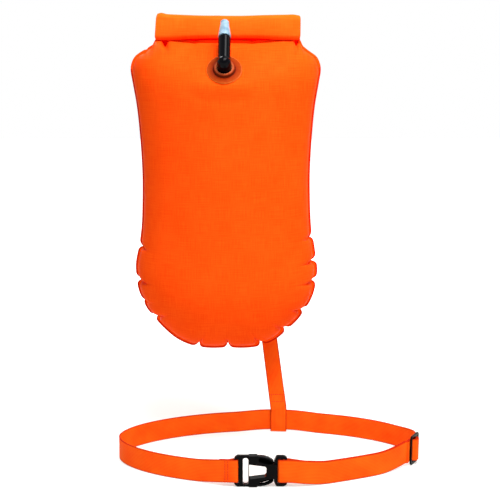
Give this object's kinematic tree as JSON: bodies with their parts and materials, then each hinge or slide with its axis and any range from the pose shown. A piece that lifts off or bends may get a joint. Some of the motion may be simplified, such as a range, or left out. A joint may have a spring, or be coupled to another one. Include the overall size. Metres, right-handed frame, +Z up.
{
  "type": "open water swim buoy",
  "caption": "Inflated roll-top bag with an oral valve and a rolled mouth, tethered by a strap to an adjustable waist belt with a side release buckle",
  "frame": {"origin": "middle of the bounding box in plan, on the ground the belt stands on", "axes": "+Z up, the bag's length; +X across the bag and along the belt ring, from the buckle's female half to its male half; +Y from the belt buckle at the front to the tow leash at the back"},
  "size_m": [0.3329, 0.242, 0.4856],
  "materials": {
    "coated_fabric": "satin",
    "webbing": "matte",
    "buckle_plastic": "satin",
    "valve_plastic": "satin",
    "clear_flange": "gloss",
    "milky_plastic": "satin",
    "seal_rubber": "matte",
    "strip_plastic": "matte",
    "steel": "satin"
  },
  "bodies": {
    "bag_and_belt": {"front_panel": "coated_fabric", "back_panel": "coated_fabric", "rolled_mouth": "coated_fabric", "mouth_stiffener": "strip_plastic", "closure_tab_left": "webbing", "closure_tab_right": "webbing", "closure_female_half": "buckle_plastic", "valve_flange": "clear_flange", "anchor_patch": "coated_fabric", "anchor_keeper": "webbing", "tow_leash": "webbing", "belt_webbing": "webbing", "belt_buckle_female_half": "buckle_plastic", "belt_adjuster": "buckle_plastic"},
    "belt_plug": {"belt_buckle_male_half": "buckle_plastic"},
    "belt_upper_arm": {"belt_buckle_arm_upper": "buckle_plastic"},
    "belt_lower_arm": {"belt_buckle_arm_lower": "buckle_plastic"},
    "closure_plug": {"closure_male_half": "buckle_plastic"},
    "closure_upper_arm": {"closure_arm_upper": "buckle_plastic"},
    "closure_lower_arm": {"closure_arm_lower": "buckle_plastic"},
    "elbow": {"valve_elbow": "valve_plastic", "valve_plug": "valve_plastic"},
    "seal": {"mouthpiece_washer": "seal_rubber"},
    "nozzle": {"mouthpiece": "milky_plastic"},
    "swing_ring": {"anchor_ring": "steel"}
  },
  "joints": [
    {"name": "belt_release", "type": "slide", "parent": "bag_and_belt", "child": "belt_plug", "axis": [1, 0, 0], "range_m": [0, 0.03], "deforming": ["belt_webbing", "belt_buckle_arm_upper", "belt_buckle_arm_lower"]},
    {"name": "belt_upper_squeeze", "type": "hinge", "parent": "belt_plug", "child": "belt_upper_arm", "pos_m": [0.00515, -0.1146, 0.027], "axis": [0, -1, 0], "range_deg": [0, 5], "stiffness_Nm_per_rad": 0.2},
    {"name": "belt_lower_squeeze", "type": "hinge", "parent": "belt_plug", "child": "belt_lower_arm", "pos_m": [0.00515, -0.1146, 0.0066], "axis": [0, 1, 0], "range_deg": [0, 5], "stiffness_Nm_per_rad": 0.2},
    {"name": "closure_release", "type": "slide", "parent": "bag_and_belt", "child": "closure_plug", "axis": [1, 0, 0], "range_m": [0, 0.025], "deforming": ["closure_tab_right", "closure_arm_upper", "closure_arm_lower"]},
    {"name": "closure_upper_squeeze", "type": "hinge", "parent": "closure_plug", "child": "closure_upper_arm", "pos_m": [-0.03878, 0.03703, 0.48026], "axis": [0, -1, 0], "range_deg": [0, 5], "stiffness_Nm_per_rad": 0.2},
    {"name": "closure_lower_squeeze", "type": "hinge", "parent": "closure_plug", "child": "closure_lower_arm", "pos_m": [-0.03878, 0.03703, 0.46394], "axis": [0, 1, 0], "range_deg": [0, 5], "stiffness_Nm_per_rad": 0.2},
    {"name": "valve_swivel", "type": "hinge", "parent": "bag_and_belt", "child": "elbow", "pos_m": [-0.0465, -0.02665, 0.42561], "axis": [0, -0.7812, 0.6243], "range_deg": [-90, 90]},
    {"name": "mouthpiece_lift", "type": "slide", "parent": "elbow", "child": "seal", "axis": [0, 0.6243, 0.7812], "range_m": [0, 0.003]},
    {"name": "mouthpiece_twist", "type": "hinge", "parent": "seal", "child": "nozzle", "pos_m": [-0.0465, -0.01533, 0.45932], "axis": [0, 0.6243, 0.7812], "range_deg": [0, 180]},
    {"name": "anchor_swing", "type": "hinge", "parent": "bag_and_belt", "child": "swing_ring", "pos_m": [-0.0465, 0.11, 0.40533], "axis": [1, 0, 0], "range_deg": [0, 40], "deforming": ["tow_leash"]}
  ],
  "couplings": [
    {"joint": "belt_lower_squeeze", "follows": "belt_upper_squeeze", "ratio": 1},
    {"joint": "closure_lower_squeeze", "follows": "closure_upper_squeeze", "ratio": 1},
    {"joint": "mouthpiece_twist", "follows": "mouthpiece_lift", "rad_per_m": 1047}
  ]
}
